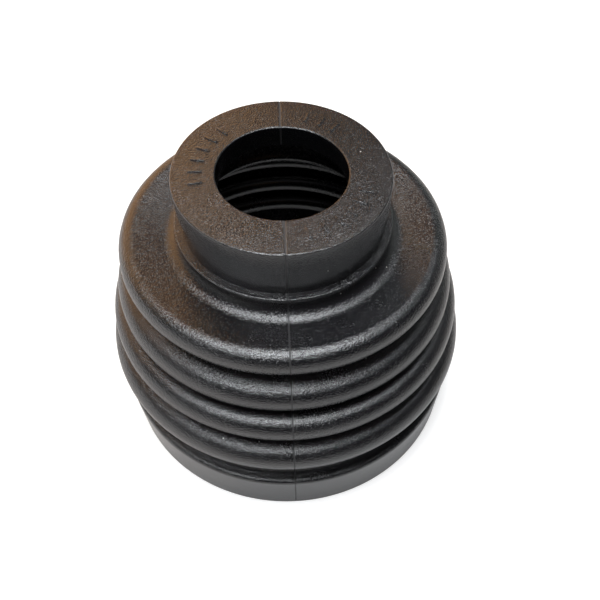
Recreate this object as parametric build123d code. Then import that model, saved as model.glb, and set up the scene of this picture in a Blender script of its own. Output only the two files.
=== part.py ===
from build123d import *
import math
import os

# Rubber bellows boot: one moulded piece, open at both ends, and a body of revolution about Z
# that stands on its large end. The origin is the middle of the large end's bottom face. The
# section is a closed loop of roundings joined by straight tangents, so every wall follows the
# sizes below. Sizes are in millimetres.

# Large end: a plain cylindrical band that slips over the joint housing
mouth_radius = 36.4
mouth_depth = 10.6
flange_wall = 3.0
flange_height = 11.6
flange_foot_edge = 0.35
flange_shoulder = 1.0

# Waist between the large end and the last fold
waist_depth = 3.0
waist_rounding = 1.5

# Folds, numbered from the small end: full round crests with tight hollows between them. A
# crest's rise is taken from the crest or large end below it, a hollow's depth from the crest above
fold_wall = 1.5
valley_rounding = 0.6
crest_1_radius = 32.6
crest_2_radius = 34.9
crest_3_radius = 37.5
crest_4_radius = 39.7
crest_1_rounding = 2.8
crest_2_rounding = 3.2
crest_3_rounding = 3.1
crest_4_rounding = 3.5
crest_1_rise = 9.0
crest_2_rise = 7.5
crest_3_rise = 9.2
crest_4_rise = 9.1
valley_12_depth = 5.2
valley_23_depth = 5.6
valley_34_depth = 6.1

# Neck: the hollow under the shoulder ring and the almost level bell that leads to crest 1. Inside
# it a slim ridge runs round, level with the foot of the shoulder ring
neck_rise = 4.1
neck_height = 0.5
neck_rounding = 2.7
neck_radius = 20.4
neck_wall = 3.4
neck_ridge_rounding = 1.2

# Small end: shoulder ring, seat of the clamp band, lip, and the bore that grips the shaft
ring_radius = 21.1
ring_thickness = 0.9
band_radius = 19.5
band_width = 5.4
lip_radius = 20.0
lip_height = 5.0
bore_radius = 12.0
bore_length = 3.9
collar_wall = 1.9
recess_ease = 0.6
edge_rounding = 0.3

# Radii and heights that follow from the sizes above
flange_radius = mouth_radius + flange_wall
waist_radius = flange_radius - waist_depth
recess_radius = band_radius - collar_wall
ridge_radius = neck_radius - neck_wall
neck_hollow = min(neck_rounding, (crest_1_radius - neck_radius) / 2 - crest_1_rounding)
crest_4_z = flange_height + crest_4_rise
crest_3_z = crest_4_z + crest_3_rise
crest_2_z = crest_3_z + crest_2_rise
crest_1_z = crest_2_z + crest_1_rise
neck_z = crest_1_z + neck_rise
ring_bottom = neck_z + neck_height
band_bottom = ring_bottom + ring_thickness
band_top = band_bottom + band_width
height = band_top + lip_height

crests = [
    (crest_1_radius, crest_1_z, crest_1_rounding),
    (crest_2_radius, crest_2_z, crest_2_rounding),
    (crest_3_radius, crest_3_z, crest_3_rounding),
    (crest_4_radius, crest_4_z, crest_4_rounding),
]
valley_depths = [valley_12_depth, valley_23_depth, valley_34_depth]


def valley(upper, lower, depth):
    """Hollow between two crests, half-way between the under side of one and the top of the next."""
    top, bottom = upper[1] - upper[2], lower[1] + lower[2]
    rounding = min(valley_rounding, (top - bottom) / 2)
    return (upper[0] - depth + rounding, (top + bottom) / 2, -rounding)


def thin_wall(offset):
    """Roundings of the wall from the neck down to the waist, an offset under the outside."""
    outside = [(neck_radius + neck_hollow, neck_z, -neck_hollow)]
    for i, (radius, z, rounding) in enumerate(crests):
        if i:
            outside.append(valley(crests[i - 1], crests[i], valley_depths[i - 1]))
        outside.append((radius - rounding, z, rounding))
    outside.append((waist_radius + waist_rounding, flange_height + waist_rounding, -waist_rounding))
    return [(r, z, signed - offset) for r, z, signed in outside]


def turned(circles):
    """The same roundings run through the other way, with the rubber on their other side."""
    return [(r, z, -signed) for r, z, signed in reversed(circles)]


def corner(r, z, rounding, inwards, downwards):
    """Convex corner at (r, z); the material lies inwards or outwards of it, and below or above."""
    return (r + (-rounding if inwards else rounding), z + (-rounding if downwards else rounding), rounding)


def section():
    """All roundings (r, z, signed radius) round the boot's section, outside down, inside up.

    The radius is positive where the rubber is convex, negative in a hollow and 0 at a sharp corner.
    """
    outside = [
        corner(lip_radius, height, edge_rounding, True, True),
        (lip_radius, band_top, 0),
        (band_radius, band_top, 0),
        (band_radius, band_bottom, 0),
        corner(ring_radius, band_bottom, edge_rounding, True, True),
        corner(ring_radius, ring_bottom, edge_rounding, True, False),
        (neck_radius, ring_bottom, 0),
    ] + thin_wall(0) + [
        corner(flange_radius, flange_height, flange_shoulder, True, True),
        corner(flange_radius, 0, flange_foot_edge, True, False),
    ]
    inside = [
        (mouth_radius, 0, 0),
        (mouth_radius, mouth_depth, 0),
        (waist_radius - fold_wall, mouth_depth, 0),
    ] + turned(thin_wall(fold_wall)) + [
        (ridge_radius + neck_ridge_rounding, ring_bottom, neck_ridge_rounding),
        (recess_radius, recess_bottom(), 0),
        (recess_radius, height - bore_length, 0),
        (bore_radius, height - bore_length, 0),
        corner(bore_radius, height, edge_rounding, False, True),
    ]
    return outside + inside


def recess_bottom():
    """Height where the collar's inner recess meets the slim ridge inside the neck."""
    reach = ridge_radius + neck_ridge_rounding - recess_radius
    return ring_bottom + math.sqrt(max(neck_ridge_rounding ** 2 - reach ** 2, 0)) + recess_ease


def tangent_normals(circles):
    """Direction of each tangent's normal, from one rounding to the next one, out of the rubber."""
    normals = []
    for (r1, z1, s1), (r2, z2, s2) in zip(circles, circles[1:] + circles[:1]):
        run, rise = r2 - r1, z2 - z1
        normals.append(math.atan2(rise, run) + math.acos((s1 - s2) / math.hypot(run, rise)))
    return normals


def closed_outline(circles):
    """The section's edges: an arc on each rounding and a straight line along each tangent."""
    edges = []
    full_turn = 2 * math.pi
    normals = tangent_normals(circles)

    def point(circle, direction):
        r, z, signed = circle
        return Vector(r + signed * math.cos(direction), 0, z + signed * math.sin(direction))

    for i, circle in enumerate(circles):
        arrive, leave = normals[i - 1], normals[i]
        if circle[2]:
            # The normal turns clockwise round a convex rounding and the other way in a hollow
            turn = (leave - arrive) % full_turn - (full_turn if circle[2] > 0 else 0)
            edges.append(ThreePointArc(
                point(circle, arrive), point(circle, arrive + turn / 2), point(circle, leave)))
        edges.append(Line(point(circle, leave), point(circles[(i + 1) % len(circles)], leave)))
    return Wire(edges)


bellows_boot = revolve(make_face(closed_outline(section())), Axis.Z, 360)

os.makedirs("parts", exist_ok=True)
export_step(bellows_boot, "parts/bellows_boot.step")
print(f"bellows boot: height {height:.2f}, widest radius {crest_4_radius:.2f}, "
      f"volume {bellows_boot.volume / 1000:.2f} cm3")
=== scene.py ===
import math

import bmesh
import bpy
from mathutils import Matrix, Vector


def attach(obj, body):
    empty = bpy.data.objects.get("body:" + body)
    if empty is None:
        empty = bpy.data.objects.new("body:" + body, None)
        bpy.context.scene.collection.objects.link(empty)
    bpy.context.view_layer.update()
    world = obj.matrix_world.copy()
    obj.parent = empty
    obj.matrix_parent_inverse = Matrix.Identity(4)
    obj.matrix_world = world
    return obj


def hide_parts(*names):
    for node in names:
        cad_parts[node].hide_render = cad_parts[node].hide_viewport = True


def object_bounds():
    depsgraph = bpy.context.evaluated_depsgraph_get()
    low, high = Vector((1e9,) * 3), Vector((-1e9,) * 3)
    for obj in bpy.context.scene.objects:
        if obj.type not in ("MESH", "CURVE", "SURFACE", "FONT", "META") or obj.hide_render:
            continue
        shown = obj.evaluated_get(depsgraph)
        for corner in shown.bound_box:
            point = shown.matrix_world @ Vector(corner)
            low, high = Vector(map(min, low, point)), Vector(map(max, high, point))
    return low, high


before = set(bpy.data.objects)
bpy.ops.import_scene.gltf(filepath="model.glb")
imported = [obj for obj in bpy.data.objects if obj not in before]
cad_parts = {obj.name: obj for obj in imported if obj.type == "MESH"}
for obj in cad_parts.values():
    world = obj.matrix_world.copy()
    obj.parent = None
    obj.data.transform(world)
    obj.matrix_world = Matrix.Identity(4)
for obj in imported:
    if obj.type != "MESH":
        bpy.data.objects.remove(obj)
cad_low, cad_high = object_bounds()


# The boot's outside, as the two halves of the mould shape it: lip, seat of the small band,
# shoulder ring, neck, bell, folds and plain large end. It is black rubber, moulded in one piece.
mm = 0.001
height = cad_high[2]

bore_radius = 12.0 * mm
bore_length = 3.9 * mm
lip_radius = 20.0 * mm
lip_height = 5.0 * mm
band_radius = 19.5 * mm
band_width = 5.4 * mm
ring_radius = 21.1 * mm
ring_thickness = 0.9 * mm
neck_radius = 20.4 * mm
neck_rounding = 2.7 * mm
neck_height = 0.5 * mm
edge_rounding = 0.3 * mm
step_rounding = 0.15 * mm

band_top = height - lip_height
band_bottom = band_top - band_width
ring_bottom = band_bottom - ring_thickness
neck_z = ring_bottom - neck_height

# Crests from the small end: outside radius, drop from the level above, rounding
crests = [(32.6 * mm, 4.1 * mm, 2.8 * mm),
          (34.9 * mm, 9.0 * mm, 3.2 * mm),
          (37.5 * mm, 7.5 * mm, 3.1 * mm),
          (39.7 * mm, 9.2 * mm, 3.5 * mm)]
valley_depths = [5.2 * mm, 5.6 * mm, 6.1 * mm]
valley_rounding = 0.6 * mm

flange_radius = 39.4 * mm
flange_height = 11.6 * mm
flange_wall = 3.0 * mm
flange_shoulder = 1.0 * mm
flange_foot_edge = 0.35 * mm
waist_depth = 3.0 * mm
waist_rounding = 1.5 * mm

mouth_radius = flange_radius - flange_wall
waist_radius = flange_radius - waist_depth


def thin_wall(depth):
    """Roundings (radius, height, signed rounding) from neck to waist, depth inside the skin."""
    level = neck_z
    wall = [(neck_radius + neck_rounding, level, -neck_rounding - depth)]
    for i, (radius, drop, rounding) in enumerate(crests):
        level -= drop
        if i:
            radius_above, _, rounding_above = crests[i - 1]
            valley_radius = radius_above - valley_depths[i - 1] + valley_rounding
            valley_level = (level + drop - rounding_above + level + rounding) / 2
            wall.append((valley_radius, valley_level, -valley_rounding - depth))
        wall.append((radius - rounding, level, rounding - depth))
    wall.append((waist_radius + waist_rounding, flange_height + waist_rounding,
                 -waist_rounding - depth))
    return wall


def rounded(radius, level, rounding, across, up):
    """A rounding inside the corner at (radius, level), towards across and up, each 1 or -1."""
    return (radius + across * rounding, level + up * rounding, rounding)


outside = [
    (bore_radius, height - bore_length, 0),
    rounded(bore_radius, height, edge_rounding, 1, -1),
    rounded(lip_radius, height, edge_rounding, -1, -1),
    rounded(lip_radius, band_top, step_rounding, -1, 1),
    (band_radius, band_top, 0),
    (band_radius, band_bottom, 0),
    rounded(ring_radius, band_bottom, edge_rounding, -1, -1),
    rounded(ring_radius, ring_bottom, edge_rounding, -1, 1),
    (neck_radius, ring_bottom, 0),
] + thin_wall(0) + [
    rounded(flange_radius, flange_height, flange_shoulder, -1, -1),
    rounded(flange_radius, 0, flange_foot_edge, -1, 1),
    (mouth_radius, 0, 0),
]


def draw_profile(bm, roundings, segments):
    """A chain of edges: each rounding is a point spun about its centre, each straight a tangent."""
    headings = []
    for (r1, z1, s1), (r2, z2, s2) in zip(roundings, roundings[1:]):
        swing = math.acos((s1 - s2) / math.hypot(r2 - r1, z2 - z1))
        headings.append(math.atan2(z2 - z1, r2 - r1) + swing)
    pen = None
    for i, (r, z, s) in enumerate(roundings):
        arrive, leave = headings[max(i - 1, 0)], headings[min(i, len(headings) - 1)]
        start = bm.verts.new((r + s * math.cos(arrive), 0, z + s * math.sin(arrive)))
        if pen:
            bm.edges.new((pen, start))
        pen = start
        if s:
            turn = (leave - arrive) % math.tau - (math.tau if s > 0 else 0)
            arc = bmesh.ops.spin(bm, geom=[start], cent=(r, 0, z), axis=(0, -1, 0),
                                 angle=turn, steps=segments)
            pen = next(v for v in arc["geom_last"] if isinstance(v, bmesh.types.BMVert))


def spin_profile(bm, steps):
    """Turns every wire edge of the mesh once round the boot's axis."""
    wire = [e for e in bm.edges if not e.link_faces]
    ends = {v for e in wire for v in e.verts}
    bmesh.ops.spin(bm, geom=list(ends) + wire, cent=(0, 0, 0), axis=(0, 0, 1),
                   angle=math.tau, steps=steps, use_merge=True)


turn_steps = 240
outside_segments = 10

boot = bmesh.new()
draw_profile(boot, outside, outside_segments)
spin_profile(boot, turn_steps)


# The boot's inside, as the mould's core shapes it: the stop shoulder of the mouth, the folds'
# hollows, the ridge under the neck, and the recess behind the lip that grips the shaft.
fold_wall = 1.5 * mm
neck_wall = 3.4 * mm
seat_wall = 1.9 * mm
mouth_depth = 10.6 * mm
ridge_rounding = 1.2 * mm
recess_ease = 0.6 * mm
inside_segments = 6
merge_distance = 0.01 * mm

ridge_radius = neck_radius - neck_wall
recess_radius = band_radius - seat_wall
ridge_reach = ridge_radius + ridge_rounding - recess_radius
recess_bottom = ring_bottom + math.sqrt(ridge_rounding ** 2 - ridge_reach ** 2) + recess_ease

inside = [
    (mouth_radius, 0, 0),
    (mouth_radius, mouth_depth, 0),
    (waist_radius - fold_wall, mouth_depth, 0),
] + [(r, z, -s) for r, z, s in reversed(thin_wall(fold_wall))] + [
    (ridge_radius + ridge_rounding, ring_bottom, ridge_rounding),
    (recess_radius, recess_bottom, 0),
    (recess_radius, height - bore_length, 0),
    (bore_radius, height - bore_length, 0),
]

# Slots of the boot's three finishes. New faces are in the first.
grained, core, smooth = 0, 1, 2

outer_faces = set(boot.faces)
draw_profile(boot, inside, inside_segments)
spin_profile(boot, turn_steps)
for face in boot.faces:
    if face not in outer_faces:
        face.material_index = core
bmesh.ops.remove_doubles(boot, verts=boot.verts, dist=merge_distance)
bmesh.ops.recalc_face_normals(boot, faces=boot.faces)


# The mould's parting line: a fine groove down the front and back of the boot's outside, where
# the two halves of the mould met and the flash was torn off.
seam_width = 0.34 * mm
seam_depth = 0.07 * mm
cut_tolerance = 1e-7

# Both edges of the groove are cut, and then its middle, whose points are sunk.
for side in (-1, 1, 0):
    cut = bmesh.ops.bisect_plane(boot, geom=list(boot.verts) + list(boot.edges) + list(boot.faces),
                                 dist=cut_tolerance, plane_co=(side * seam_width / 2, 0, 0),
                                 plane_no=(1, 0, 0))
groove = [v for v in cut["geom_cut"] if isinstance(v, bmesh.types.BMVert)
          and all(f.material_index == grained for f in v.link_faces)]
boot.normal_update()
for vert in groove:
    vert.co -= vert.normal * seam_depth

# The collar's side and the large end came off polished steel, the rest off a grained mould.
steepness = 0.3        # of a steep face's normal, at most this share points up or down
for face in boot.faces:
    level = face.calc_center_median().z
    steep = abs(face.normal.z) < steepness
    at_an_end = level > ring_bottom or level < flange_height
    if face.material_index == grained and steep and at_an_end:
        face.material_index = smooth

sharp_angle = math.radians(38)
for edge in boot.edges:
    edge.smooth = len(edge.link_faces) == 2 and edge.calc_face_angle(0) < sharp_angle
for face in boot.faces:
    face.smooth = True
boot_mesh = bpy.data.meshes.new("bellows_skin")
boot.to_mesh(boot_mesh)
boot.free()
bellows = bpy.data.objects.new("bellows_skin", boot_mesh)
bpy.context.scene.collection.objects.link(bellows)
even_shading = bellows.modifiers.new("even_shading", "WEIGHTED_NORMAL")
even_shading.keep_sharp = True


# Raised marks on the end face, where such a boot carries its mould's marks: plain short bars in
# three rows, cast with the rubber. Each is a box with rounded edges, sunk a little into the face.
mark_radius = 15.6 * mm
mark_length = 2.6 * mm
mark_width = 0.5 * mm
mark_rise = 0.16 * mm
mark_sink = 0.1 * mm
mark_edge = 0.06 * mm
mark_pitch = math.radians(11)

# Rows: direction of the middle, number of bars
mark_rows = [(math.radians(162), 6), (math.radians(60), 3), (math.radians(-48), 6)]

marks = bmesh.new()
for middle, count in mark_rows:
    for i in range(count):
        bar = bmesh.ops.create_cube(marks, size=1)["verts"]
        bmesh.ops.scale(marks, verts=bar, vec=(mark_length, mark_width, mark_rise + mark_sink))
        bmesh.ops.translate(marks, verts=bar,
                            vec=(mark_radius, 0, height + (mark_rise - mark_sink) / 2))
        bmesh.ops.rotate(marks, verts=bar, cent=(0, 0, 0),
                         matrix=Matrix.Rotation(middle + (i - (count - 1) / 2) * mark_pitch, 3, "Z"))
bmesh.ops.bevel(marks, geom=list(marks.edges), offset=mark_edge, offset_type="OFFSET", segments=3,
                profile=0.5, affect="EDGES", material=-1)
bmesh.ops.recalc_face_normals(marks, faces=marks.faces)
for face in marks.faces:
    face.smooth = True
marks_mesh = bpy.data.meshes.new("end_face_marks")
marks.to_mesh(marks_mesh)
marks.free()
end_marks = bpy.data.objects.new("end_face_marks", marks_mesh)
bpy.context.scene.collection.objects.link(end_marks)


# The rubber's surface, as the mould left it: a grain, deep on the folds and fine on the polished
# ends, whose tops have since been rubbed glossier. The grain's colour is painted paler on its tops,
# partly as rubbed wear and partly as painted glints, and darker in its hollows, as painted shade.
# Faint smears and dust lie over it.
coat_weight, coat_roughness = 0.12, 0.38

grain_tops = (0.4, 0.66)                # heights of the grain where the glossier, painted-paler tops start, and are full
hollow_shade_colour, top_glint_colour = 0.55, 2.1   # times the rubber's own colour: painted shade in the hollows, painted glints on the tops
top_polish = 0.12

dust_scale, dust_size = 420, 0.055
dust_colour = (0.42, 0.41, 0.38, 1)

smear_scale, smear_detail = 90, 3
smear_range = (0.3, 0.7)
smear_gloss, smear_dullness = 0.04, 0.05

line_edges = (0.08 * mm, 0.2 * mm)      # half widths where the parting line's dull strip fades


def new_group(name, inputs, output):
    """An empty shader node group with named number inputs, a Vector input and one output."""
    group = bpy.data.node_groups.new(name, "ShaderNodeTree")
    group.interface.new_socket("Vector", in_out="INPUT", socket_type="NodeSocketVector")
    for label in inputs:
        group.interface.new_socket(label, in_out="INPUT", socket_type="NodeSocketFloat")
    group.interface.new_socket(output, in_out="OUTPUT", socket_type="NodeSocketFloat")
    return group, group.nodes.new("NodeGroupInput"), group.nodes.new("NodeGroupOutput")


def remap(tree, source, low, high, to_low, to_high):
    """A smooth ramp of source from low..high to to_low..to_high."""
    ramp = tree.nodes.new("ShaderNodeMapRange")
    ramp.interpolation_type = "SMOOTHSTEP"
    for label, value in (("From Min", low), ("From Max", high),
                         ("To Min", to_low), ("To Max", to_high)):
        ramp.inputs[label].default_value = value
    tree.links.new(source, ramp.inputs["Value"])
    return ramp.outputs["Result"]


def maths(tree, operation, first, second):
    """The result of one operation on two sockets or numbers."""
    node = tree.nodes.new("ShaderNodeMath")
    node.operation = operation
    for socket, value in zip(node.inputs, (first, second)):
        if isinstance(value, (int, float)):
            socket.default_value = value
        else:
            tree.links.new(value, socket)
    return node.outputs["Value"]


mould_grain, given, result = new_group("mould_grain", ["Scale"], "Height")
grit = mould_grain.nodes.new("ShaderNodeTexNoise")
grit.inputs["Detail"].default_value = 2
grit.inputs["Roughness"].default_value = 0.6
mould_grain.links.new(given.outputs["Vector"], grit.inputs["Vector"])
mould_grain.links.new(given.outputs["Scale"], grit.inputs["Scale"])
mould_grain.links.new(grit.outputs["Fac"], result.inputs["Height"])

dust, given, result = new_group("dust", ["Scale", "Size", "Share"], "Mask")
specks = dust.nodes.new("ShaderNodeTexVoronoi")
pick = dust.nodes.new("ShaderNodeSeparateColor")
dust.links.new(given.outputs["Vector"], specks.inputs["Vector"])
dust.links.new(given.outputs["Scale"], specks.inputs["Scale"])
dust.links.new(specks.outputs["Color"], pick.inputs["Color"])
near = maths(dust, "LESS_THAN", specks.outputs["Distance"], given.outputs["Size"])
chosen = maths(dust, "LESS_THAN", pick.outputs["Red"], given.outputs["Share"])
dust.links.new(maths(dust, "MULTIPLY", near, chosen), result.inputs["Mask"])


def rubber(name, colour, roughness, grain_scale, grain_depth, dust_share, line_dullness):
    """Black rubber: its grain, its gloss, the dull parting line, and the dust that lies on it."""
    material = bpy.data.materials.new(name)
    material.use_nodes = True
    tree = material.node_tree
    nodes, links = tree.nodes, tree.links
    shader = nodes["Principled BSDF"]
    shader.inputs["Specular IOR Level"].default_value = 1.0
    shader.inputs["Coat Weight"].default_value = coat_weight
    shader.inputs["Coat Roughness"].default_value = coat_roughness
    place = nodes.new("ShaderNodeTexCoord").outputs["Object"]

    grain = nodes.new("ShaderNodeGroup")
    grain.node_tree = mould_grain
    grain.inputs["Scale"].default_value = grain_scale
    bump = nodes.new("ShaderNodeBump")
    bump.inputs["Distance"].default_value = grain_depth
    links.new(place, grain.inputs["Vector"])
    links.new(grain.outputs["Height"], bump.inputs["Height"])
    links.new(bump.outputs["Normal"], shader.inputs["Normal"])

    speck = nodes.new("ShaderNodeGroup")
    speck.node_tree = dust
    for label, value in (("Scale", dust_scale), ("Size", dust_size), ("Share", dust_share)):
        speck.inputs[label].default_value = value
    links.new(place, speck.inputs["Vector"])
    # The grain's tops are painted paler, partly as rubbed wear and partly as painted glints, and its
    # hollows darker, as painted shade.
    tops = remap(tree, grain.outputs["Height"], *grain_tops, 0, 1)
    glint_shade_and_wear = nodes.new("ShaderNodeMix")
    glint_shade_and_wear.data_type = "RGBA"
    glint_shade_and_wear.inputs["A"].default_value = (*[hollow_shade_colour * c for c in colour], 1)
    glint_shade_and_wear.inputs["B"].default_value = (*[top_glint_colour * c for c in colour], 1)
    links.new(tops, glint_shade_and_wear.inputs["Factor"])
    tint = nodes.new("ShaderNodeMix")
    tint.data_type = "RGBA"
    tint.inputs["B"].default_value = dust_colour
    links.new(glint_shade_and_wear.outputs["Result"], tint.inputs["A"])
    links.new(speck.outputs["Mask"], tint.inputs["Factor"])
    links.new(tint.outputs["Result"], shader.inputs["Base Color"])

    smear = nodes.new("ShaderNodeTexNoise")
    smear.inputs["Scale"].default_value = smear_scale
    smear.inputs["Detail"].default_value = smear_detail
    links.new(place, smear.inputs["Vector"])
    gloss = remap(tree, smear.outputs["Fac"], *smear_range,
                  roughness - smear_gloss, roughness + smear_dullness)
    across = nodes.new("ShaderNodeSeparateXYZ")
    links.new(place, across.inputs["Vector"])
    from_line = maths(tree, "ABSOLUTE", across.outputs["X"], 0)
    line = remap(tree, from_line, *line_edges, line_dullness, 0)
    rubbed = maths(tree, "SUBTRACT", gloss, maths(tree, "MULTIPLY", tops, top_polish))
    links.new(maths(tree, "ADD", rubbed, line), shader.inputs["Roughness"])
    return material


grained_rubber = rubber("grained_rubber", colour=(0.0052, 0.0051, 0.0060), roughness=0.24,
                        grain_scale=3000, grain_depth=0.15 * mm, dust_share=0.12, line_dullness=0.42)
core_rubber = rubber("core_rubber", colour=(0.006, 0.006, 0.007), roughness=0.26,
                     grain_scale=1200, grain_depth=0.04 * mm, dust_share=0.0, line_dullness=0.0)
smooth_rubber = rubber("smooth_rubber", colour=(0.0035, 0.0035, 0.0045), roughness=0.22,
                       grain_scale=3200, grain_depth=0.03 * mm, dust_share=0.04, line_dullness=0.42)
for finish in (grained_rubber, core_rubber, smooth_rubber):
    boot_mesh.materials.append(finish)
marks_mesh.materials.append(grained_rubber)
for piece in (bellows, end_marks):
    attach(piece, "root")
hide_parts("bellows_boot")


# The table that the boot stands on: plain white paper, which keeps the boot's shadow. To the eye
# it also glows, whiter the further it is from the boot, and the rubber mirrors a little of that.
floor_reach = 1.5
floor_drop = 0.02 * mm              # keeps the foot's face and the floor out of one plane
glow_from, glow_to = 0.12, 0.7      # metres from the boot's axis
glow_near, glow_far = 0.55, 1.0
glow_mirrored = 0.05

floor_mesh = bpy.data.meshes.new("floor")
floor_bm = bmesh.new()
bmesh.ops.create_grid(floor_bm, x_segments=1, y_segments=1, size=floor_reach)
bmesh.ops.translate(floor_bm, verts=floor_bm.verts, vec=(0, 0, -floor_drop))
floor_bm.to_mesh(floor_mesh)
floor_bm.free()
floor = bpy.data.objects.new("floor", floor_mesh)
bpy.context.scene.collection.objects.link(floor)

paper = bpy.data.materials.new("white_table")
paper.use_nodes = True
tree = paper.node_tree
nodes, links = tree.nodes, tree.links
shader = nodes["Principled BSDF"]
shader.inputs["Base Color"].default_value = (0.68, 0.67, 0.66, 1)
shader.inputs["Roughness"].default_value = 0.9
shader.inputs["Emission Color"].default_value = (1, 1, 1, 1)
ray = nodes.new("ShaderNodeLightPath")
mirrored = maths(tree, "MULTIPLY", ray.outputs["Is Glossy Ray"], glow_mirrored)
place = nodes.new("ShaderNodeTexCoord").outputs["Object"]
away = nodes.new("ShaderNodeVectorMath")
away.operation = "LENGTH"
links.new(place, away.inputs[0])
glow = remap(tree, away.outputs["Value"], glow_from, glow_to, glow_near, glow_far)
watched = maths(tree, "MULTIPLY", ray.outputs["Is Camera Ray"], glow)
links.new(maths(tree, "ADD", watched, mirrored), shader.inputs["Emission Strength"])
floor_mesh.materials.append(paper)


# The light: a softbox overhead, a pale panel low on the left, and warm and pale surroundings
# behind the boot. Round them the room is dark, but white where it is looked at.
def soft_light(name, place, aim, width, depth, power, colour):
    """A rectangular lamp at place, turned towards aim, with its sides in metres."""
    lamp = bpy.data.lights.new(name, "AREA")
    lamp.shape = "RECTANGLE"
    lamp.size, lamp.size_y = width, depth
    lamp.energy = power
    lamp.color = colour
    light = bpy.data.objects.new(name, lamp)
    light.location = place
    light.rotation_euler = (Vector(aim) - Vector(place)).to_track_quat("-Z", "Y").to_euler()
    bpy.context.scene.collection.objects.link(light)


soft_light("overhead", place=(-0.03, -0.03, 0.62), aim=(0, 0, 0.04),
           width=0.22, depth=0.40, power=4.7, colour=(0.94, 0.97, 1.0))
soft_light("left_panel", place=(-0.42, -0.05, 0.06), aim=(0, 0, 0.04),
           width=0.9, depth=0.12, power=0.45, colour=(1.0, 1.0, 1.0))
soft_light("warm_back_left", place=(-0.32, 0.48, 0.28), aim=(0, 0, 0.05),
           width=0.70, depth=0.46, power=1.8, colour=(1.0, 0.56, 0.26))
soft_light("pale_back_right", place=(0.46, 0.55, 0.23), aim=(0, 0, 0.05),
           width=0.6, depth=0.4, power=0.32, colour=(0.92, 1.0, 0.94))

world = bpy.data.worlds.new("studio")
bpy.context.scene.world = world
world.use_nodes = True
nodes, links = world.node_tree.nodes, world.node_tree.links
around = nodes["Background"]
around.inputs["Color"].default_value = (0.06, 0.06, 0.065, 1)
backdrop = nodes.new("ShaderNodeBackground")
backdrop.inputs["Color"].default_value = (1, 1, 1, 1)
choose = nodes.new("ShaderNodeMixShader")
ray = nodes.new("ShaderNodeLightPath")
links.new(ray.outputs["Is Camera Ray"], choose.inputs["Fac"])
links.new(around.outputs["Background"], choose.inputs[1])
links.new(backdrop.outputs["Background"], choose.inputs[2])
links.new(choose.outputs["Shader"], nodes["World Output"].inputs["Surface"])


# The camera: close, in front, and looking steeply down at the small end. It leans a little to
# one side, and its lens is shifted so that the boot sits off the middle.
camera_place = (0, -0.0893, 0.1390)
pitch, yaw, roll = math.radians(59.16), math.radians(7.0), math.radians(3.63)

forward = Vector((math.sin(yaw) * math.cos(pitch), math.cos(yaw) * math.cos(pitch),
                  -math.sin(pitch)))
sideways = Vector((math.cos(yaw), -math.sin(yaw), 0))
upright = sideways.cross(forward)
right = sideways * math.cos(roll) + upright * math.sin(roll)
up = upright * math.cos(roll) - sideways * math.sin(roll)
lens = bpy.data.cameras.new("camera")
lens.sensor_width = 36
lens.lens = 37.31
lens.shift_x = -0.05
lens.shift_y = 0.1333
lens.clip_start = 0.005
camera = bpy.data.objects.new("camera", lens)
turn = Matrix((right, up, -forward)).transposed()
camera.matrix_world = Matrix.Translation(camera_place) @ turn.to_4x4()
bpy.context.scene.collection.objects.link(camera)
bpy.context.scene.camera = camera

bpy.context.scene.view_settings.view_transform = "Standard"
